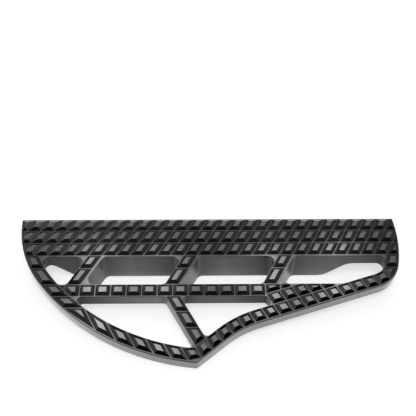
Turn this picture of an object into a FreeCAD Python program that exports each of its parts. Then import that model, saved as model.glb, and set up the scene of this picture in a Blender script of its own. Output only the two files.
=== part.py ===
"""Motorcycle passenger floorboard, milled in one piece from aluminium bar.

Frame: the origin is the mouth of the threaded hole in the middle of the rear face. +X runs along the rear
edge to the right, +Y points out of the rear face, +Z is up. The tip of the board points along -Y.
Depths are measured forwards from the rear face, so a depth d lies at y = -d.
"""
import FreeCAD, Part
import math
import os

import Sketcher
from FreeCAD import Placement, Rotation, Vector

SIZES = (
    # outline
    ("left_reach", 123.5, "rear edge, from the middle hole to the left end"),
    ("right_reach", 131.7, "rear edge, from the middle hole to the right end"),
    ("side_radius", 81.1, "radius of the left end, centred on the rear edge"),
    ("shoulder_depth", 49.3, "depth at which the left end runs into the front curve"),
    ("front_radius", 148.9, "radius of the front curve"),
    ("tip_from_left", 120.5, "from the left end to where the tip's round ends"),
    ("tip_radius", 3.0, "radius of the tip"),
    ("tip_angle", 40.0, "slope of the edge beside the tip, degrees"),
    ("sweep_radius", 63.0, "radius of the hollow sweep from the tip to the right rim"),
    ("flank_angle", 18.1, "slope of the right rim, degrees"),
    ("flank_depth", 53.6, "depth at which the right rim runs into its corner"),
    ("corner_radius", 21.0, "radius of the front right corner"),
    ("end_radius", 100.2, "radius of the right end"),
    ("end_depth", 13.2, "depth of the right end's centre"),
    # section
    ("block_height", 25.4, "from the bottom of the hinge block to the tread tops"),
    ("plate_thickness", 10.95, "from the underside of the plate to the tread tops"),
    ("strip_depth", 30.6, "depth of the wide strip along the rear edge"),
    ("rim_width", 8.6, "width of the rim around the windows"),
    ("bar_depth", 52.5, "depth at which the long bar starts"),
    ("bar_width", 8.7, "width of the long bar"),
    ("brace_land", 1.2, "flat beside the treads, along the right edge of each brace"),
    ("window_radius", 4.5, "radius of the corners of the windows behind the long bar"),
    ("front_window_radius", 2.8, "radius of the corners of the windows in front of the long bar"),
    # hinge block
    ("block_left", 81.2, "full depth of the block, from the middle hole to the left"),
    ("block_right", 78.4, "full depth of the block, from the middle hole to the right"),
    ("ramp_radius", 11.0, "radius at the top and bottom of the ramps at the block's ends"),
    ("ramp_angle", 44.0, "slope of the ramps, degrees"),
    ("rib_depth", 38.4, "full depth of the block under the braces, from the rear face"),
    ("rib_angle", 45.0, "slope from there to the long bar, degrees"),
    ("notch_spacing", 101.6, "between the middles of the two lug notches"),
    ("notch_width", 24.2, "width of a lug notch"),
    ("notch_depth", 12.7, "depth of a lug notch into the rear face"),
    ("notch_chamfer", 3.0, "chamfer of the block's middle beside the notches"),
    ("edge_chamfer", 0.8, "chamfer along the block's lower rear edge"),
    ("hole_height", 5.6, "from the bottom of the block to the middle hole"),
    ("hole_diameter", 5.1, "tapping diameter of the threaded holes"),
    ("hole_depth", 14.0, "depth of the middle hole"),
    ("pin_height", 8.0, "from the bottom of the block to the hinge pins"),
    ("pin_depth", 6.6, "from the rear face to the hinge pins"),
    ("pin_bore", 6.4, "diameter of the hinge pin bores"),
    ("pin_seat", 12.0, "length of a pin bore beyond its notch"),
    ("pin_spot", 10.0, "diameter of the flat that a pin bore starts from"),
    ("lug_length", 18.0, "length of a pin bore outside its notch"),
    # treads
    ("tread_depth", 1.6, "height of the treads above the groove bottoms"),
    ("tread_slope", 2.2, "width of a tread's sloping side"),
    ("groove_land", 0.7, "flat width of a groove's bottom"),
    ("slant_angle", 28.3, "angle of the slanted grooves from the depth direction, degrees"),
    ("first_row", 9.5, "depth of the first groove along the strip"),
    ("row_pitch", 10.2, "between the grooves along the strip"),
    ("column_shift", -3.85, "place of a slanted groove on the strip's front edge"),
    ("column_pitch", 9.035, "between the slanted grooves of the strip"),
    ("cross_shift", 0.4, "place of a groove across the long bar"),
    ("cross_pitch", 9.92, "between the grooves across the long bar"),
    ("front_shift", -24.0, "place of the diagonal bar's left edge on the long bar's front edge"),
    ("front_pitch", 9.24, "between the slanted grooves of the front rim, and width of the diagonal bar"),
    ("flank_shift", 46.3, "place of the right rim's first groove at the depth of the long bar"),
    ("flank_pitch", 9.7, "between the slanted grooves of the right rim"),
    ("diagonal_pitch", 11.3, "between the grooves across the diagonal bar"),
    ("elbow_step", 8.4, "from the long bar to the last straight groove of the left rim"),
)
# Which of the strip's slanted grooves start a brace, and which of the front rim's grooves edges the wedge
BRACE_COLUMNS = (-8, -1, 6)
WEDGE_LINE = 7
STRIP_ROWS = 3
DIAGONAL_TREADS = 3
# How far cuts run past a face, how far the bars' ends reach into the long bar as a share of its width,
# the lowest tread worth milling, a depth just inside the rear edge, and the distance that counts as touching
CUT_MARGIN = 2.0
BAR_BITE = 0.25
LEAST_TREAD = 0.5
EDGE_STEP = 0.5
TOUCH = 1e-4
# Turns of the boxes that cut the chamfers, 45 degrees above and below the reversed direction
CHAMFER_UP = "225 deg"
CHAMFER_DOWN = "135 deg"
UP = Vector(0, 0, 1)

doc = FreeCAD.newDocument("passenger_floorboard")
sheet = doc.addObject("Spreadsheet::Sheet", "sheet")
for row, (alias, value, meaning) in enumerate(SIZES, start=1):
    sheet.set(f"A{row}", meaning)
    sheet.set(f"B{row}", str(value))
    sheet.setAlias(f"B{row}", alias)
doc.recompute()


def size(alias):
    """A driving size, read from the sheet."""
    return float(sheet.get(alias))


# Levels, as expressions for the document and as numbers for the treads
BOTTOM = "-sheet.hole_height"
UNDERSIDE = "(sheet.block_height - sheet.hole_height - sheet.plate_thickness)"
DROP = "(sheet.block_height - sheet.plate_thickness)"
PLATE = "(sheet.plate_thickness - sheet.tread_depth)"
BAR_FRONT = "(sheet.bar_depth + sheet.bar_width)"
SLANT = "(sheet.slant_angle * 1 deg)"
underside = size("block_height") - size("hole_height") - size("plate_thickness")
groove_level = size("block_height") - size("hole_height") - size("tread_depth")
bar_front = size("bar_depth") + size("bar_width")
beyond_tip = size("front_radius")
lean = math.tan(math.radians(size("slant_angle")))


def bind(item, **expressions):
    """Binds properties of an object to the sheet; a double underscore stands for a dot."""
    for path, expression in expressions.items():
        item.setExpression(path.replace("__", "."), str(expression))
    return item


def plan(x, depth):
    """A point on the underside of the plate."""
    return Vector(x, -depth, underside)


def heading(degrees):
    """The direction at an angle from +X in plan."""
    return Vector(math.cos(math.radians(degrees)), math.sin(math.radians(degrees)), 0)


def arc(centre, start, end):
    """A counter-clockwise arc of a sketch, from one point to another."""
    first = start - centre
    last = end - centre
    circle = Part.Circle(centre, UP, first.Length)
    return Part.ArcOfCircle(circle, math.atan2(first.y, first.x), math.atan2(last.y, last.x))


def constrain(sketch, kind, *parts, name=None, to=None):
    """Adds one constraint to a sketch, and binds a named one to the sheet."""
    index = sketch.addConstraint(Sketcher.Constraint(kind, *parts))
    if name:
        sketch.renameConstraint(index, name)
        sketch.setExpression(f"Constraints.{name}", to or f"sheet.{name}")


def draw_outline():
    """The board's outline: a chain of tangent arcs and lines, closed by the rear edge."""
    rear_left = Vector(-size("left_reach"), 0, 0)
    rear_right = Vector(size("right_reach"), 0, 0)
    side_centre = rear_left + Vector(size("side_radius"), 0, 0)
    side_turn = math.degrees(math.asin(size("shoulder_depth") / size("side_radius")))
    shoulder = side_centre - heading(side_turn) * size("side_radius")
    front_centre = shoulder + heading(side_turn) * size("front_radius")
    tip_normal = heading(size("tip_angle") + 90)
    flank_normal = heading(size("flank_angle") + 90)
    tip_x = rear_left.x + size("tip_from_left") + tip_normal.x * size("tip_radius")
    tip_reach = size("front_radius") - size("tip_radius")
    tip_drop = math.sqrt(tip_reach ** 2 - (tip_x - front_centre.x) ** 2)
    tip_centre = Vector(tip_x, front_centre.y - tip_drop, 0)
    tip_start = tip_centre + (tip_centre - front_centre).normalize() * size("tip_radius")
    tip_end = tip_centre - tip_normal * size("tip_radius")
    end_half = math.sqrt(size("end_radius") ** 2 - size("end_depth") ** 2)
    end_centre = Vector(rear_right.x - end_half, -size("end_depth"), 0)
    corner_y = flank_normal.y * size("corner_radius") - size("flank_depth")
    corner_reach = size("end_radius") - size("corner_radius")
    corner_x = end_centre.x + math.sqrt(corner_reach ** 2 - (corner_y - end_centre.y) ** 2)
    corner_centre = Vector(corner_x, corner_y, 0)
    corner_start = corner_centre - flank_normal * size("corner_radius")
    corner_end = corner_centre + (corner_centre - end_centre).normalize() * size("corner_radius")
    tip_way = heading(size("tip_angle"))
    flank_way = heading(size("flank_angle"))
    tip_run = (corner_start - tip_end).cross(flank_way).z / tip_way.cross(flank_way).z
    sweep_corner = tip_end + tip_way * tip_run
    half_turn = math.radians(size("tip_angle") - size("flank_angle")) / 2
    sweep_run = size("sweep_radius") * math.tan(half_turn)
    sweep_start = sweep_corner - tip_way * sweep_run
    sweep_end = sweep_corner + flank_way * sweep_run
    sweep_centre = sweep_start - tip_normal * size("sweep_radius")

    sketch = doc.addObject("Sketcher::SketchObject", "outline")
    bind(sketch, Placement__Base__z=UNDERSIDE)
    side, front, tip, tip_edge, sweep, flank, corner, end, rear = range(9)
    sketch.addGeometry([
        arc(side_centre, rear_left, shoulder),
        arc(front_centre, shoulder, tip_start),
        arc(tip_centre, tip_start, tip_end),
        Part.LineSegment(tip_end, sweep_start),
        arc(sweep_centre, sweep_end, sweep_start),
        Part.LineSegment(sweep_end, corner_start),
        arc(corner_centre, corner_start, corner_end),
        arc(end_centre, corner_end, rear_right),
        Part.LineSegment(rear_right, rear_left),
    ])
    constrain(sketch, "Coincident", rear, 2, side, 1)
    constrain(sketch, "Tangent", side, 2, front, 1)
    constrain(sketch, "Tangent", front, 2, tip, 1)
    constrain(sketch, "Tangent", tip, 2, tip_edge, 1)
    constrain(sketch, "Tangent", tip_edge, 2, sweep, 2)
    constrain(sketch, "Tangent", sweep, 1, flank, 1)
    constrain(sketch, "Tangent", flank, 2, corner, 1)
    constrain(sketch, "Tangent", corner, 2, end, 1)
    constrain(sketch, "Coincident", end, 2, rear, 1)
    constrain(sketch, "PointOnObject", rear, 1, -1)
    constrain(sketch, "PointOnObject", rear, 2, -1)
    constrain(sketch, "PointOnObject", side, 3, -1)
    constrain(sketch, "DistanceX", rear, 2, -1, 1, size("left_reach"), name="left_reach")
    constrain(sketch, "DistanceX", -1, 1, rear, 1, size("right_reach"), name="right_reach")
    constrain(sketch, "Radius", side, size("side_radius"), name="side_radius")
    constrain(sketch, "DistanceY", side, 2, -1, 1, size("shoulder_depth"), name="shoulder_depth")
    constrain(sketch, "Radius", front, size("front_radius"), name="front_radius")
    constrain(sketch, "Radius", tip, size("tip_radius"), name="tip_radius")
    constrain(sketch, "DistanceX", rear, 2, tip_edge, 1, size("tip_from_left"), name="tip_from_left")
    constrain(sketch, "Angle", tip_edge, math.radians(size("tip_angle")),
              name="tip_angle", to="sheet.tip_angle * 1 deg")
    constrain(sketch, "Radius", sweep, size("sweep_radius"), name="sweep_radius")
    constrain(sketch, "Angle", flank, math.radians(size("flank_angle")),
              name="flank_angle", to="sheet.flank_angle * 1 deg")
    constrain(sketch, "DistanceY", flank, 2, -1, 1, size("flank_depth"), name="flank_depth")
    constrain(sketch, "Radius", corner, size("corner_radius"), name="corner_radius")
    constrain(sketch, "Radius", end, size("end_radius"), name="end_radius")
    constrain(sketch, "DistanceY", end, 3, -1, 1, size("end_depth"), name="end_depth")
    return sketch


def extrude(name, base, forwards, backwards="0"):
    """A solid from a closed sketch, along the sketch's normal."""
    item = doc.addObject("Part::Extrusion", name)
    item.Base = base
    item.DirMode = "Normal"
    item.Solid = True
    return bind(item, LengthFwd=forwards, LengthRev=backwards)


def box(name, x, y, z, length, width, height, turn="0", axis=UP):
    """A box bound to the sheet, turned about an axis through its corner."""
    item = doc.addObject("Part::Box", name)
    item.Placement = Placement(Vector(), Rotation(axis, 1))
    bind(item, Length=length, Width=width, Height=height)
    return bind(item, Placement__Base__x=x, Placement__Base__y=y, Placement__Base__z=z,
                Placement__Rotation__Angle=turn)


def cylinder(name, x, y, z, diameter, length, axis):
    """A round tool that starts at a point and runs along an axis."""
    item = doc.addObject("Part::Cylinder", name)
    item.Placement = Placement(Vector(), Rotation(UP, axis))
    bind(item, Radius=f"({diameter}) / 2", Height=length)
    return bind(item, Placement__Base__x=x, Placement__Base__y=y, Placement__Base__z=z)


def join(name, shapes):
    """Several solids fused to one shape."""
    item = doc.addObject("Part::MultiFuse", name)
    item.Shapes = shapes
    return item


def cut(name, base, tool):
    """One shape with another taken out of it."""
    item = doc.addObject("Part::Cut", name)
    item.Base = base
    item.Tool = tool
    return item


def spoke(name, x, y, width, length, turn):
    """A straight bar between the windows, higher than the plate, to hold back the windows' cut."""
    return box(name, x, y, f"{UNDERSIDE} - {CUT_MARGIN}", width, length, f"{PLATE} + {2 * CUT_MARGIN}", turn)


def make_spokes():
    """What stays standing inside the rim: the strip, the long bar, the braces, the diagonal and the wedge."""
    span = "(sheet.left_reach + sheet.right_reach)"
    spokes = [
        spoke("strip", "-sheet.left_reach", "-sheet.strip_depth", span, "sheet.strip_depth", "0"),
        spoke("long_bar", "-sheet.left_reach", f"-{BAR_FRONT}", span, "sheet.bar_width", "0"),
    ]
    foot = f"(sheet.bar_depth + sheet.bar_width * {BAR_BITE})"
    brace_width = f"sheet.column_pitch * cos({SLANT}) + sheet.brace_land"
    brace_length = f"({foot} - sheet.strip_depth / 2) / cos({SLANT})"
    for number, column in enumerate(BRACE_COLUMNS, start=1):
        edge = f"(sheet.column_shift + {column} * sheet.column_pitch)"
        foot_x = f"{edge} + (sheet.strip_depth - {foot}) * tan({SLANT})"
        spokes.append(spoke(f"brace_{number}", foot_x, f"-{foot}", brace_width, brace_length, f"-{SLANT}"))
    head = f"({BAR_FRONT} - sheet.bar_width * {BAR_BITE})"
    reach = "sheet.front_radius"
    diagonal_end = f"({head} + {reach} * cos({SLANT}))"
    diagonal_x = f"sheet.front_shift + ({diagonal_end} - {BAR_FRONT}) * tan({SLANT})"
    spokes.append(spoke("diagonal", diagonal_x, f"-{diagonal_end}",
                        f"sheet.front_pitch * cos({SLANT})", reach, SLANT))
    side = spoke("wedge_side", f"{diagonal_x} + {WEDGE_LINE} * sheet.front_pitch",
                 f"-{diagonal_end}", reach, f"2 * {reach}", SLANT)
    front = spoke("wedge_front", "0", f"-sheet.bar_depth - {reach}", reach, reach, "0")
    wedge = doc.addObject("Part::Common", "wedge")
    wedge.Base = side
    wedge.Tool = front
    spokes.append(wedge)
    return join("spokes", spokes)


def make_windows(rim_line):
    """The six windows, down to the block's bottom: the field inside the rim without the spokes, rounded."""
    field = extrude("field", rim_line, f"{PLATE} + {CUT_MARGIN / 2}", CUT_MARGIN / 2)
    openings = cut("openings", field, make_spokes())
    doc.recompute()
    drop = size("block_height") - size("plate_thickness")
    height = openings.Shape.BoundBox.ZLength + drop
    windows = []
    for solid in openings.Shape.Solids:
        floor = min(solid.Faces, key=lambda face: face.CenterOfMass.z)
        ahead = floor.CenterOfMass.y < -bar_front
        radius = size("front_window_radius" if ahead else "window_radius")
        softened = floor.makeOffset2D(-radius).makeOffset2D(radius)
        softened.translate(UP * -drop)
        windows.append(softened.extrude(UP * height))
    item = doc.addObject("Part::Feature", "windows")
    item.Shape = Part.Compound(windows)
    return item


def draw_block():
    """The hinge block seen from the front: a flat bottom with a rounded ramp at each end."""
    bottom = -size("hole_height")
    drop = underside - bottom
    radius = size("ramp_radius")
    angle = math.radians(size("ramp_angle"))
    bend_run = radius * math.sin(angle)
    bend_rise = radius * (1 - math.cos(angle))
    run = 2 * bend_run + (drop - 2 * bend_rise) / math.tan(angle)
    top = underside + (groove_level - underside) / 2
    foot_left = Vector(-size("block_left"), bottom, 0)
    foot_right = Vector(size("block_right"), bottom, 0)
    rise_left = foot_left + Vector(-run, drop, 0)
    rise_right = foot_right + Vector(run, drop, 0)
    lift = Vector(0, radius, 0)
    low_left = foot_left + Vector(-bend_run, bend_rise, 0)
    low_right = foot_right + Vector(bend_run, bend_rise, 0)
    high_left = rise_left - Vector(-bend_run, bend_rise, 0)
    high_right = rise_right - Vector(bend_run, bend_rise, 0)
    top_left = Vector(rise_left.x, top, 0)
    top_right = Vector(rise_right.x, top, 0)

    sketch = doc.addObject("Sketcher::SketchObject", "block_profile")
    sketch.Placement = Placement(Vector(), Rotation(Vector(1, 0, 0), 90))
    (outer_left, slope_left, inner_left, foot, inner_right, slope_right, outer_right,
     wall_right, roof, wall_left) = range(10)
    sketch.addGeometry([
        arc(rise_left - lift, high_left, rise_left),
        Part.LineSegment(high_left, low_left),
        arc(foot_left + lift, low_left, foot_left),
        Part.LineSegment(foot_left, foot_right),
        arc(foot_right + lift, foot_right, low_right),
        Part.LineSegment(low_right, high_right),
        arc(rise_right - lift, rise_right, high_right),
        Part.LineSegment(rise_right, top_right),
        Part.LineSegment(top_right, top_left),
        Part.LineSegment(top_left, rise_left),
    ])
    constrain(sketch, "Tangent", outer_left, 1, slope_left, 1)
    constrain(sketch, "Tangent", slope_left, 2, inner_left, 1)
    constrain(sketch, "Tangent", inner_left, 2, foot, 1)
    constrain(sketch, "Tangent", foot, 2, inner_right, 1)
    constrain(sketch, "Tangent", inner_right, 2, slope_right, 1)
    constrain(sketch, "Tangent", slope_right, 2, outer_right, 2)
    constrain(sketch, "Coincident", outer_right, 1, wall_right, 1)
    constrain(sketch, "Coincident", wall_right, 2, roof, 1)
    constrain(sketch, "Coincident", roof, 2, wall_left, 1)
    constrain(sketch, "Coincident", wall_left, 2, outer_left, 2)
    constrain(sketch, "Horizontal", foot)
    constrain(sketch, "Horizontal", roof)
    constrain(sketch, "Vertical", wall_left)
    constrain(sketch, "Vertical", wall_right)
    constrain(sketch, "Vertical", outer_left, 3, outer_left, 2)
    constrain(sketch, "Vertical", outer_right, 3, outer_right, 1)
    constrain(sketch, "Equal", outer_left, inner_left)
    constrain(sketch, "Equal", outer_right, inner_right)
    constrain(sketch, "Equal", outer_left, outer_right)
    constrain(sketch, "Radius", inner_right, radius, name="ramp_radius")
    constrain(sketch, "Angle", slope_right, angle, name="right_slope", to="sheet.ramp_angle * 1 deg")
    constrain(sketch, "Angle", slope_left, -angle, name="left_slope", to="-sheet.ramp_angle * 1 deg")
    constrain(sketch, "DistanceX", foot, 1, -1, 1, size("block_left"), name="block_left")
    constrain(sketch, "DistanceX", -1, 1, foot, 2, size("block_right"), name="block_right")
    constrain(sketch, "DistanceY", foot, 1, -1, 1, -bottom, name="hole_height")
    constrain(sketch, "DistanceY", foot, 1, outer_left, 2, drop, name="left_drop", to=DROP)
    constrain(sketch, "DistanceY", foot, 1, outer_right, 1, drop, name="right_drop", to=DROP)
    constrain(sketch, "DistanceY", wall_right, 1, wall_right, 2, top - underside,
              name="root", to=f"{PLATE} / 2")
    return sketch


def make_ribs(profile, rim_line, windows):
    """The block carried on under the braces, between the windows, with a slope up to the long bar."""
    blank = doc.addObject("Part::Common", "rib_blank")
    blank.Base = extrude("rib_stock", profile, "sheet.bar_depth")
    blank.Tool = extrude("rib_field", rim_line, f"{PLATE} / 2", DROP)
    span = "(sheet.left_reach + sheet.right_reach)"
    slope = box("rib_slope", "-sheet.left_reach", "-sheet.rib_depth", BOTTOM, span, span, span,
                "(180 - sheet.rib_angle) * 1 deg", Vector(1, 0, 0))
    return cut("ribs", cut("rib_bars", blank, windows), slope)


def make_hinge_cuts():
    """The two lug notches, the pin bores across them, their set-screw holes and the middle hole."""
    middle = cylinder("middle_hole", "0", f"{CUT_MARGIN}", "0", "sheet.hole_diameter",
                      f"sheet.hole_depth + {CUT_MARGIN}", Vector(0, -1, 0))
    along = Vector(1, 0, 0)
    across = Vector(0, 1, 0)
    room = "4 * sheet.ramp_radius"
    rear_edge = box("rear_chamfer", f"-sheet.block_left - {room}", f"{CUT_MARGIN}",
                    f"{BOTTOM} + sheet.edge_chamfer + {CUT_MARGIN}",
                    f"sheet.block_left + sheet.block_right + 2 * {room}",
                    f"2 * sheet.edge_chamfer + {2 * CUT_MARGIN}", room, CHAMFER_UP, along)
    cuts = [middle, rear_edge]
    pin_level = f"{BOTTOM} + sheet.pin_height"
    half = "sheet.notch_width / 2"
    slant_length = "sheet.notch_chamfer * sqrt(2)"
    chamfer_width = f"sheet.notch_depth + {CUT_MARGIN}"
    mouth = f"(sheet.notch_spacing / 2 - {half})"
    cuts.append(box("right_notch_chamfer", mouth, "-sheet.notch_depth", f"{BOTTOM} + sheet.notch_chamfer",
                    slant_length, chamfer_width, "sheet.notch_chamfer", CHAMFER_DOWN, across))
    cuts.append(box("left_notch_chamfer", f"sheet.notch_chamfer - {mouth}", "-sheet.notch_depth", BOTTOM,
                    slant_length, chamfer_width, "sheet.notch_chamfer", CHAMFER_UP, across))
    for name, sign in (("left", -1), ("right", 1)):
        centre = f"({sign} * sheet.notch_spacing / 2)"
        outer = f"({centre} + {sign} * ({half} + sheet.lug_length))"
        inner = f"({centre} - {sign} * ({half} + sheet.pin_seat))"
        away = Vector(sign, 0, 0)
        below = f"{BOTTOM} - {CUT_MARGIN}"
        cuts.append(box(f"{name}_notch", f"{centre} - {half}", "-sheet.notch_depth", below,
                        "sheet.notch_width", f"sheet.notch_depth + {CUT_MARGIN}",
                        f"{UNDERSIDE} - ({below})"))
        cuts.append(cylinder(f"{name}_pin_bore", inner, "-sheet.pin_depth", pin_level, "sheet.pin_bore",
                             f"abs({outer} - {inner})", away))
        cuts.append(cylinder(f"{name}_spot_face", outer, "-sheet.pin_depth", pin_level, "sheet.pin_spot",
                             "2 * sheet.ramp_radius", away))
        screw = f"{centre} + {sign} * ({half} + sheet.lug_length / 2)"
        cuts.append(cylinder(f"{name}_set_screw_hole", screw, "-sheet.pin_depth", below,
                             "sheet.hole_diameter", f"sheet.pin_height + {CUT_MARGIN}", UP))
    return join("hinge_cuts", cuts)


def rounded(point):
    """A point as a key, the same for points that are equal but for rounding."""
    return tuple(round(value, 4) for value in point)


def trim(faces, point, normal):
    """Cuts a convex solid, kept as a list of faces, by a plane, and keeps what lies behind the plane."""
    kept = []
    seam = {}
    for face in faces:
        corners = []
        for a, b in zip(face, face[1:] + face[:1]):
            before = (a - point).dot(normal)
            after = (b - point).dot(normal)
            if before <= TOUCH:
                corners.append(a)
            if abs(before) <= TOUCH:
                seam[rounded(a)] = a
            elif abs(after) > TOUCH and before * after < 0:
                c = a + (b - a) * (before / (before - after))
                corners.append(c)
                seam[rounded(c)] = c
        if len(corners) > 2:
            kept.append(corners)
    if len(seam) > 2:
        middle = sum(seam.values(), Vector()) / len(seam)
        across = (next(iter(seam.values())) - middle).normalize()
        along = normal.cross(across).normalize()
        turns = {math.atan2((c - middle).dot(along), (c - middle).dot(across)): c for c in seam.values()}
        kept.append([turns[angle] for angle in sorted(turns)])
    return kept


def clip(corners, start, end):
    """The part of a convex plan shape to the left of the line from one point to another."""
    normal = Vector(end.y - start.y, start.x - end.x, 0)
    kept = trim([corners], start, normal)
    return kept[0] if kept else []


def tread(corners):
    """One tread: a low block on the groove level, bevelled along every side of its plan shape."""
    if len(corners) < 3:
        return None
    area = sum(a.x * b.y - b.x * a.y for a, b in zip(corners, corners[1:] + corners[:1]))
    if area < 0:
        corners = corners[::-1]
    flat = [Vector(c.x, c.y, groove_level) for c in corners]
    raised = [c + UP * size("tread_depth") for c in flat]
    sides = list(zip(flat, flat[1:] + flat[:1], raised, raised[1:] + raised[:1]))
    faces = [flat[::-1], raised] + [[a, b, d, c] for a, b, c, d in sides]
    for start, end in zip(flat, flat[1:] + flat[:1]):
        outwards = Vector(end.y - start.y, start.x - end.x, 0).normalize()
        base = start - outwards * (size("groove_land") / 2)
        faces = trim(faces, base, outwards + UP * (size("tread_slope") / size("tread_depth")))
    highest = max((c.z for face in faces for c in face), default=groove_level)
    if highest - groove_level < LEAST_TREAD:
        return None
    return Part.Solid(Part.Shell([Part.Face(Part.makePolygon(face + face[:1])) for face in faces]))


def slanted(x, depth_there, way):
    """A slanted groove as a function of depth: way 1 leans to the right going forwards, -1 to the left."""
    return lambda depth: plan(x + way * (depth - depth_there) * lean, depth)


def strip_groove(index):
    """A slanted groove of the strip, which also edges the braces."""
    return slanted(size("column_shift") + index * size("column_pitch"), size("strip_depth"), -1)


def front_groove(index):
    """A slanted groove of the front rim; numbers 0 and 1 edge the diagonal bar."""
    return slanted(size("front_shift") + index * size("front_pitch"), bar_front, 1)


def flank_groove(index):
    """A slanted groove of the right rim and the wedge."""
    return slanted(size("flank_shift") + index * size("flank_pitch"), size("bar_depth"), 1)


def reaches(rim, point, clearance):
    """Whether a point lies inside the rim's inner line, and clear of it."""
    inside = Part.Face(rim.Wires[0]).isInside(point, TOUCH, False)
    return inside and rim.distToShape(Part.Vertex(point))[0] > clearance


def front_lines(rim):
    """The grooves of the front rim, as far to the left as they start inside the rim."""
    most = int(size("left_reach") / size("front_pitch"))
    grooves = [front_groove(k) for k in range(-most, WEDGE_LINE + 1)]
    return [groove for groove in grooves if reaches(rim, groove(bar_front), TOUCH)]


def flank_lines(rim):
    """The grooves of the right rim, as far to the right as they start a rim's width inside it."""
    most = int(size("right_reach") / size("flank_pitch"))
    grooves = [flank_groove(k) for k in range(most)]
    return [groove for groove in grooves if reaches(rim, groove(size("strip_depth")), size("rim_width"))]


def row(number):
    """The depth of a groove along the strip; number 3 crosses the braces and the rim."""
    return size("first_row") + number * size("row_pitch")


def between(left, right, rear, front):
    """The plan shape between two slanted grooves and two depths."""
    return [left(rear), left(front), right(front), right(rear)]


def crossing(curve, inside, outside):
    """Where the line from a point inside a closed curve to one outside crosses it."""
    points = [vertex.Point for vertex in curve.section(Part.makeLine(inside, outside)).Vertexes]
    return min(points, key=inside.distanceToPoint)


def strip_treads(outline):
    """Three rows of treads on the strip, cut off by the curved ends of the board."""
    rows = [0.0] + [row(k) for k in range(STRIP_ROWS)]
    reach = size("left_reach") + size("right_reach")
    most = int(reach / size("column_pitch"))
    treads = []
    for rear, front in zip(rows, rows[1:]):
        depths = (max(rear, EDGE_STEP), front)
        left = [crossing(outline, plan(0, d), plan(-reach, d)) for d in depths]
        right = [crossing(outline, plan(0, d), plan(reach, d)) for d in depths]
        for column in range(-most, most):
            shape = between(strip_groove(column), strip_groove(column + 1), rear, front)
            shape = clip(shape, left[0], left[1])
            treads.append(tread(clip(shape, right[1], right[0])))
    return treads


def brace_treads():
    """Two treads on each brace, in line with the strip's columns."""
    treads = []
    rows = [row(STRIP_ROWS - 1), row(STRIP_ROWS), size("bar_depth")]
    for column in BRACE_COLUMNS:
        for rear, front in zip(rows, rows[1:]):
            treads.append(tread(between(strip_groove(column), strip_groove(column + 1), rear, front)))
    return treads


def long_bar_treads(rim):
    """Treads along the long bar, from the left rim's groove to the wedge."""
    rear = size("bar_depth")
    front = bar_front
    left = [crossing(rim, plan(0, d), plan(-size("left_reach"), d)) for d in (rear, front)]
    treads = []
    last = wedge_cross()
    first = last - int((last * size("cross_pitch") + size("left_reach")) / size("cross_pitch"))
    for index in range(first, last):
        x = size("cross_shift") + index * size("cross_pitch")
        shape = between(slanted(x, rear, 0), slanted(x + size("cross_pitch"), rear, 0), rear, front)
        treads.append(tread(clip(shape, left[0], left[1])))
    return treads


def wedge_cross():
    """The number of the long bar's groove at which the wedge starts."""
    corner = front_groove(WEDGE_LINE)(bar_front)
    return round((corner.x - size("cross_shift")) / size("cross_pitch"))


def diagonal_treads(rim):
    """Treads along the diagonal bar, down to the rim's inner line."""
    left = front_groove(0)
    right = front_groove(1)
    inner = [crossing(rim, line(bar_front), line(beyond_tip)) for line in (left, right)]
    grooves = [bar_front + k * size("diagonal_pitch") for k in range(DIAGONAL_TREADS)] + [beyond_tip]
    treads = []
    for rear, front in zip(grooves, grooves[1:]):
        shape = between(left, right, rear, front)
        treads.append(tread(clip(shape, inner[0], inner[1])))
    return treads


def rim_treads(outline, rim):
    """Treads all round the rim, between one groove across it and the next, which may meet on the rim."""
    far = size("left_reach") + size("right_reach")
    rows = [row(STRIP_ROWS - 1), row(STRIP_ROWS)]
    left_rows = rows + [size("bar_depth"), bar_front, bar_front + size("elbow_step")]
    lines = [(plan(0, d), plan(-far, d)) for d in left_rows]
    lines += [(groove(bar_front), groove(beyond_tip)) for groove in front_lines(rim)]
    lines += [(groove(size("strip_depth")), groove(beyond_tip)) for groove in flank_lines(rim)]
    lines += [(plan(0, d), plan(far, d)) for d in rows[::-1]]
    treads = []
    for one, two in zip(lines, lines[1:]):
        halfway = [(a + b) / 2 for a, b in zip(one, two)]
        inner = [crossing(rim, *line) for line in (one, halfway, two)]
        outer = [crossing(outline, *line) for line in (one, two)]
        ways = [outer[0] - inner[0], outer[1] - inner[2]]
        chord = inner[0] - inner[2]
        if ways[0].cross(chord).z < 0:
            shape = clip([inner[0], outer[0], outer[1], inner[2]], inner[1], inner[1] + chord)
        else:
            meeting = inner[0] + ways[0] * (ways[1].cross(chord).z / ways[0].cross(ways[1]).z)
            shape = [meeting, outer[0], outer[1]]
        treads.append(tread(shape))
    return treads


def wedge_treads(outline, rim):
    """Treads of the wedge behind the right rim: two more rows beside the rim's own."""
    slope = heading(size("flank_angle"))
    inwards = heading(size("flank_angle") + 90)
    straight = [edge for edge in outline.Edges if edge.Curve.TypeId == "Part::GeomLine"]
    flank = max(straight, key=lambda edge: edge.CenterOfMass.x)
    first = flank.CenterOfMass + inwards * size("rim_width")
    second = first + inwards * size("rim_width")
    start = wedge_cross()
    uprights = [slanted(size("cross_shift") + k * size("cross_pitch"), 0, 0) for k in (start, start + 1)]
    lines = [front_groove(WEDGE_LINE)] + flank_lines(rim)
    treads = []
    for left, right in zip(lines, lines[1:]):
        shape = between(left, right, size("bar_depth"), beyond_tip)
        shape = clip(shape, first, first + slope)
        treads.append(tread(clip(shape, second + slope, second)))
    lines = uprights + lines[2:]
    for left, right in zip(lines, lines[1:]):
        shape = between(left, right, size("bar_depth"), beyond_tip)
        treads.append(tread(clip(shape, second, second + slope)))
    return treads


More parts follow.
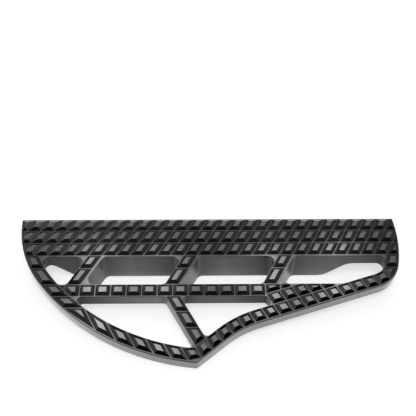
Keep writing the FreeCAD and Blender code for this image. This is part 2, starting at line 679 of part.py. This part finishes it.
def make_treads(outline, rim):
    """All treads of the board as one shape that stands on the groove level; neighbours may run together."""
    groups = (strip_treads(outline), brace_treads(), long_bar_treads(rim), diagonal_treads(rim),
              rim_treads(outline, rim), wedge_treads(outline, rim))
    solids = [solid for group in groups for solid in group if solid]
    item = doc.addObject("Part::Feature", "treads")
    item.Shape = solids[0].multiFuse(solids[1:])
    return item


outline = draw_outline()
rim_line = doc.addObject("Part::Offset2D", "rim_line")
rim_line.Source = outline
bind(rim_line, Value="-sheet.rim_width")
doc.recompute()
windows = make_windows(rim_line)
plate = cut("plate", extrude("blank", outline, PLATE), windows)
profile = draw_block()
block = extrude("block", profile, "sheet.strip_depth")
ribs = make_ribs(profile, rim_line, windows)
treads = make_treads(outline.Shape, rim_line.Shape)
body = join("milled_body", [plate, block, ribs, treads])
body.Refine = True
floorboard = cut("floorboard", body, make_hinge_cuts())
floorboard.Label = "floorboard"
doc.recompute()

for item in doc.Objects:
    if {"Invalid", "Error"} & set(item.State):
        raise RuntimeError(f"{item.Name} failed: {item.State}")
if floorboard.Shape.isNull() or not floorboard.Shape.isValid() or len(floorboard.Shape.Solids) != 1:
    raise RuntimeError("the floorboard is not one valid solid")
os.makedirs("parts", exist_ok=True)
floorboard.Shape.exportStep(f"parts/{floorboard.Label}.step")
print(floorboard.Label, floorboard.Shape.BoundBox, "volume", floorboard.Shape.Volume)
print("treads", len(treads.Shape.Solids))
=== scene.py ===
"""Looks of the motorcycle passenger floorboard: black anodised aluminium on a white studio floor.

All lengths are in metres, in the part's own frame: +X along the rear edge, +Y out of the rear face, +Z up.
A ramp is the range of a value, and then what the value becomes at the two ends of that range.
"""
import math

import bpy
from mathutils import Matrix, Vector

MM = 0.001
WHITE = (1.0, 1.0, 1.0)

# Camera: a look at the middle of the board from in front and above, with a slight turn and roll
CAMERA_PLACE = Vector((-4.5, -295.0, 401.85)) * MM
CAMERA_DROP = math.radians(51.49)
CAMERA_TURN = math.radians(1.61)
CAMERA_ROLL = math.radians(1.06)
LENS = 60.58
SENSOR = 36.0
NEAREST = 0.01
FARTHEST = 20.0

# Floor: it touches the hinge block's lower front edge and rises towards the tip
FLOOR_EDGE = Vector((0, -38.4, -5.6)) * MM
FLOOR_RISE = math.radians(11.9)
FLOOR_SIZE = 20.0
# Its clouds, their tones, and how much the floor is lifted to white, more so behind the board
CLOUD_SCALE = 3.0
CLOUD_TONE = (0.2, 0.8, 0.64, 0.66)
FLOOR_LIFT = (0.05, 0.6, 0.62, 0.72)

# Lamp: it casts the shadow, from above and in front
LAMP_PLACE = Vector((0.0, -0.55, 1.4))
LAMP_TARGET = Vector((0.0, -0.05, 0.0))
LAMP_SIZE = 0.6
LAMP_POWER = 9.5

# Ceiling, by the direction's parts: it starts high up, fades backwards, has a brighter rear and dimmer sides
CEILING_BY_Z = (0.55, 0.8, 0.0, 1.0)
CEILING_BY_Y = (0.45, 0.57, 0.68, 0.42)
CEILING_REAR_BY_Y = (0.59, 0.61, 0.0, 0.15)
CEILING_BY_SIDE = (0.2, 0.36, 1.0, 0.5)
# Light strips overhead: how far each leans to the right and its strength, and where they end
STRIPS = ((-0.135, 1.9), (-0.05, 1.35), (0.1, 1.6), (0.195, 1.75))
STRIP_WIDTH = 0.03
STRIP_BY_Y = (0.563, 0.583, 1.0, 0.0)
STRIP_BY_Z = (0.5, 0.7, 0.0, 1.0)
# The room: its own dim level, its dark front around the camera, and a glow on the left
ROOM_BY_X = (0.3, 0.7, 0.12, 0.15)
FRONT_BY_Y = (-0.35, 0.3, 0.03, 1.0)
LEFT_BY_X = (-0.9, -0.4, 0.12, 0.0)

# Metal: its cool tint, the streaks along the milling and the fine grain
BLACK_TINT = (0.995, 0.995, 1.025)
STREAK_SCALE = (12.0, 120.0, 700.0)
STREAK_TONE = (0.3, 0.7, 0.19, 0.21)
GRAIN_SCALE = 2500.0
GRAIN_ROUGHNESS = (0.3, 0.7, 0.06, 0.1)
# Heights: the walls lie below the grooves' bottoms and the treads above them, and the walls' tops get painted
# shade
GROOVE_LEVEL = 18.2 * MM
WALL_BY_HEIGHT = (GROOVE_LEVEL - 0.1 * MM, GROOVE_LEVEL - 0.03 * MM, 1.0, 0.0)
TREAD_BY_HEIGHT = (GROOVE_LEVEL + 0.1 * MM, GROOVE_LEVEL + 0.3 * MM, 0.0, 1.0)
PAINTED_WALL_TOP_SHADE = (GROOVE_LEVEL - 1.1 * MM, GROOVE_LEVEL - 0.7 * MM, 1.0, 0.55)
PAINTED_OUTER_TOP_SHADE = (GROOVE_LEVEL - 2.4 * MM, GROOVE_LEVEL - 1.9 * MM, 1.0, 0.15)
# Shade: how far the treads' painted shade reaches into the grooves and the windows' painted shade onto their
# walls, and which walls are outer ones
GROOVE_REACH = 3.0 * MM
PAINTED_GROOVE_SHADE = (0.9, 1.0, 0.5, 0.95)
WINDOW_REACH = 30.0 * MM
PAINTED_WINDOW_SHADE = (0.6, 1.0, 0.3, 0.74)
OUTER_BY_SHADE = (0.9, 1.0, 0.0, 1.0)
# Walls: they are rougher than the top, and the outer ones have a clear layer below their painted dark top
# band
WALL_ROUGHNESS = 0.22
COAT_BY_PAINTED_SHADE = (0.15, 1.0, 0.0, 1.0)
COAT_ROUGHNESS = 0.15


def new_material(name):
    """An empty node material, with its tree and output node."""
    material = bpy.data.materials.new(name)
    material.use_nodes = True
    tree = material.node_tree
    tree.nodes.clear()
    return material, tree, tree.nodes.new("ShaderNodeOutputMaterial")


def add(tree, kind, inputs=None, **settings):
    """A node with its settings, and its inputs set to values or linked to other nodes' outputs."""
    node = tree.nodes.new(kind)
    for key, value in settings.items():
        setattr(node, key, value)
    for key, value in (inputs or {}).items():
        if isinstance(value, bpy.types.NodeSocket):
            tree.links.new(value, node.inputs[key])
        else:
            node.inputs[key].default_value = value
    return node


def math_node(tree, operation, first, second=0.0):
    """The output of a math node."""
    return add(tree, "ShaderNodeMath", {0: first, 1: second}, operation=operation).outputs[0]


def product(tree, *factors):
    """The product of two or more values."""
    result = factors[0]
    for factor in factors[1:]:
        result = math_node(tree, "MULTIPLY", result, factor)
    return result


def total(tree, first, second):
    """The sum of two values."""
    return math_node(tree, "ADD", first, second)


def only_where(tree, mask, value):
    """A factor that holds where the mask is 1, and is 1 where the mask is 0."""
    return math_node(tree, "MAXIMUM", value, math_node(tree, "SUBTRACT", 1.0, mask))


def ramped(tree, value, ramp):
    """A value moved smoothly along a ramp."""
    names = ("From Min", "From Max", "To Min", "To Max")
    inputs = {"Value": value, **dict(zip(names, ramp))}
    return add(tree, "ShaderNodeMapRange", inputs, interpolation_type="SMOOTHSTEP").outputs["Result"]


def noise(tree, place, scale, detail):
    """The strength of a noise at a place."""
    return add(tree, "ShaderNodeTexNoise", {"Vector": place, "Scale": scale, "Detail": detail}).outputs["Fac"]


def openness(tree, reach):
    """How open the board's own surface is within a reach, from 0 to 1."""
    return add(tree, "ShaderNodeAmbientOcclusion", {"Distance": reach}, only_local=True).outputs["AO"]


def shade_of(tree, colour, tone):
    """A colour made lighter or darker by a tone."""
    names = ("Red", "Green", "Blue")
    parts = {name: product(tree, tone, part) for name, part in zip(names, colour)}
    return add(tree, "ShaderNodeCombineColor", parts).outputs["Color"]


def make_anodised():
    """Black anodised aluminium: bright treads, painted shade in the grooves beside them, and satin walls with
    painted shade at their tops and inside the windows.
    """
    material, tree, output = new_material("black_anodised")
    place = add(tree, "ShaderNodeTexCoord").outputs["Object"]
    along = add(tree, "ShaderNodeMapping", {"Vector": place, "Scale": STREAK_SCALE}).outputs["Vector"]
    streaks = ramped(tree, noise(tree, along, scale=1.0, detail=1.0), STREAK_TONE)
    grain = ramped(tree, noise(tree, place, scale=GRAIN_SCALE, detail=2.0), GRAIN_ROUGHNESS)
    height = add(tree, "ShaderNodeSeparateXYZ", {"Vector": place}).outputs["Z"]
    wall = ramped(tree, height, WALL_BY_HEIGHT)
    tread = ramped(tree, height, TREAD_BY_HEIGHT)
    window = openness(tree, WINDOW_REACH)
    outer = product(tree, wall, ramped(tree, window, OUTER_BY_SHADE))
    # Painted shade: the grooves between the treads are darkened by how closed in they are
    painted_groove_shade = math_node(tree, "MAXIMUM", tread, ramped(tree, openness(tree, GROOVE_REACH), PAINTED_GROOVE_SHADE))
    # Painted shade: walls darkened deeper in the windows and along a band at their tops
    painted_wall_shade = product(tree, ramped(tree, window, PAINTED_WINDOW_SHADE), ramped(tree, height, PAINTED_WALL_TOP_SHADE))
    # Painted shade: a strong dark band along the tops of the outer walls
    painted_outer_shade = only_where(tree, outer, ramped(tree, height, PAINTED_OUTER_TOP_SHADE))
    # The tone is the random milling streaks times all the painted shade above
    tone = product(tree, streaks, painted_groove_shade, only_where(tree, wall, painted_wall_shade), painted_outer_shade)
    rough = total(tree, grain, product(tree, wall, WALL_ROUGHNESS))
    coat = product(tree, outer, ramped(tree, painted_outer_shade, COAT_BY_PAINTED_SHADE))
    shader = add(tree, "ShaderNodeBsdfPrincipled",
                 {"Base Color": shade_of(tree, BLACK_TINT, tone), "Metallic": 1.0, "Roughness": rough,
                  "Coat Weight": coat, "Coat Roughness": COAT_ROUGHNESS})
    tree.links.new(shader.outputs["BSDF"], output.inputs["Surface"])
    return material


def make_floor_material():
    """A white floor: it keeps the shadow, and is lifted to white for the eye and for reflections."""
    material, tree, output = new_material("white_floor")
    place = add(tree, "ShaderNodeTexCoord").outputs["Object"]
    tone = ramped(tree, noise(tree, place, scale=CLOUD_SCALE, detail=1.0), CLOUD_TONE)
    paint = add(tree, "ShaderNodeBsdfDiffuse", {"Color": shade_of(tree, WHITE, tone)})
    path = add(tree, "ShaderNodeLightPath").outputs
    seen = math_node(tree, "MAXIMUM", path["Is Camera Ray"], path["Is Glossy Ray"])
    seen = math_node(tree, "MAXIMUM", seen, path["Is Transmission Ray"])
    behind = add(tree, "ShaderNodeSeparateXYZ", {"Vector": place}).outputs["Y"]
    lift = product(tree, seen, ramped(tree, behind, FLOOR_LIFT))
    glow = add(tree, "ShaderNodeEmission", {"Color": (*WHITE, 1.0), "Strength": lift})
    both = add(tree, "ShaderNodeAddShader", {0: paint.outputs["BSDF"], 1: glow.outputs["Emission"]})
    tree.links.new(both.outputs["Shader"], output.inputs["Surface"])
    return material


def make_floor():
    """The floor, tilted to where the board lies on its block's edge and its tip."""
    half = FLOOR_SIZE / 2
    corners = [(-half, -half, 0), (half, -half, 0), (half, half, 0), (-half, half, 0)]
    mesh = bpy.data.meshes.new("floor")
    mesh.from_pydata(corners, [], [(0, 1, 2, 3)])
    mesh.materials.append(make_floor_material())
    floor = bpy.data.objects.new("floor", mesh)
    bpy.context.scene.collection.objects.link(floor)
    floor.matrix_world = Matrix.Translation(FLOOR_EDGE) @ Matrix.Rotation(-FLOOR_RISE, 4, "X")


def light_strips(tree, x):
    """The strength of all light strips at a direction's part along X, each a smooth bump."""
    strength_here = 0.0
    for lean, strength in STRIPS:
        off = math_node(tree, "DIVIDE", math_node(tree, "SUBTRACT", x, lean), STRIP_WIDTH)
        bump = math_node(tree, "POWER", math.e, product(tree, off, off, -1.0))
        strength_here = total(tree, strength_here, product(tree, bump, strength))
    return strength_here


def make_world():
    """A studio: dim at the sides, dark around the camera, with a ceiling and strips of light above."""
    world = bpy.data.worlds.new("studio")
    bpy.context.scene.world = world
    world.use_nodes = True
    tree = world.node_tree
    tree.nodes.clear()
    way = add(tree, "ShaderNodeTexCoord").outputs["Generated"]
    x, y, z = add(tree, "ShaderNodeSeparateXYZ", {"Vector": way}).outputs
    depth = total(tree, ramped(tree, y, CEILING_BY_Y), ramped(tree, y, CEILING_REAR_BY_Y))
    sides = ramped(tree, math_node(tree, "ABSOLUTE", x), CEILING_BY_SIDE)
    ceiling = product(tree, ramped(tree, z, CEILING_BY_Z), depth, sides)
    strips = product(tree, light_strips(tree, x), ramped(tree, y, STRIP_BY_Y), ramped(tree, z, STRIP_BY_Z))
    above = total(tree, total(tree, ceiling, ramped(tree, x, ROOM_BY_X)), strips)
    level = total(tree, product(tree, above, ramped(tree, y, FRONT_BY_Y)), ramped(tree, x, LEFT_BY_X))
    light = add(tree, "ShaderNodeBackground", {"Color": (*WHITE, 1.0), "Strength": level})
    output = tree.nodes.new("ShaderNodeOutputWorld")
    tree.links.new(light.outputs["Background"], output.inputs["Surface"])


def make_lamp():
    """A square soft lamp, kept out of the metal's reflections."""
    data = bpy.data.lights.new("overhead", "AREA")
    data.shape = "SQUARE"
    data.size = LAMP_SIZE
    data.energy = LAMP_POWER
    lamp = bpy.data.objects.new("overhead", data)
    bpy.context.scene.collection.objects.link(lamp)
    lamp.location = LAMP_PLACE
    lamp.rotation_euler = (LAMP_TARGET - LAMP_PLACE).to_track_quat("-Z", "Y").to_euler()
    lamp.visible_glossy = False


def make_camera():
    """The camera, turned, dropped and rolled as the board's edges in the photo give it."""
    data = bpy.data.cameras.new("camera")
    data.sensor_width = SENSOR
    data.lens = LENS
    data.clip_start = NEAREST
    data.clip_end = FARTHEST
    camera = bpy.data.objects.new("camera", data)
    bpy.context.scene.collection.objects.link(camera)
    side = Vector((math.cos(CAMERA_TURN), -math.sin(CAMERA_TURN), 0))
    away = Vector((math.sin(CAMERA_TURN), math.cos(CAMERA_TURN), 0))
    rise = Vector((0, 0, 1))
    forward = away * math.cos(CAMERA_DROP) - rise * math.sin(CAMERA_DROP)
    up = away * math.sin(CAMERA_DROP) + rise * math.cos(CAMERA_DROP)
    rolled_side = side * math.cos(CAMERA_ROLL) + up * math.sin(CAMERA_ROLL)
    rolled_up = up * math.cos(CAMERA_ROLL) - side * math.sin(CAMERA_ROLL)
    turn = Matrix((rolled_side, rolled_up, -forward)).transposed()
    camera.matrix_world = Matrix.Translation(CAMERA_PLACE) @ turn.to_4x4()
    bpy.context.scene.camera = camera


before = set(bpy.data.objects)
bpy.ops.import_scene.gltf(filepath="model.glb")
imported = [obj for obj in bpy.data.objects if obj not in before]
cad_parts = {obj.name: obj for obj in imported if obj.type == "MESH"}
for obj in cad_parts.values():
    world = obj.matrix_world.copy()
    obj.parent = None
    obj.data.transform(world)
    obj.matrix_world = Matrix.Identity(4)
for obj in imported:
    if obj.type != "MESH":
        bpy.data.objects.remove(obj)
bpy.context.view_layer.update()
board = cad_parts["floorboard"]
board.data.materials.clear()
board.data.materials.append(make_anodised())

make_floor()
make_world()
make_lamp()
make_camera()
bpy.context.scene.view_settings.view_transform = "Standard"
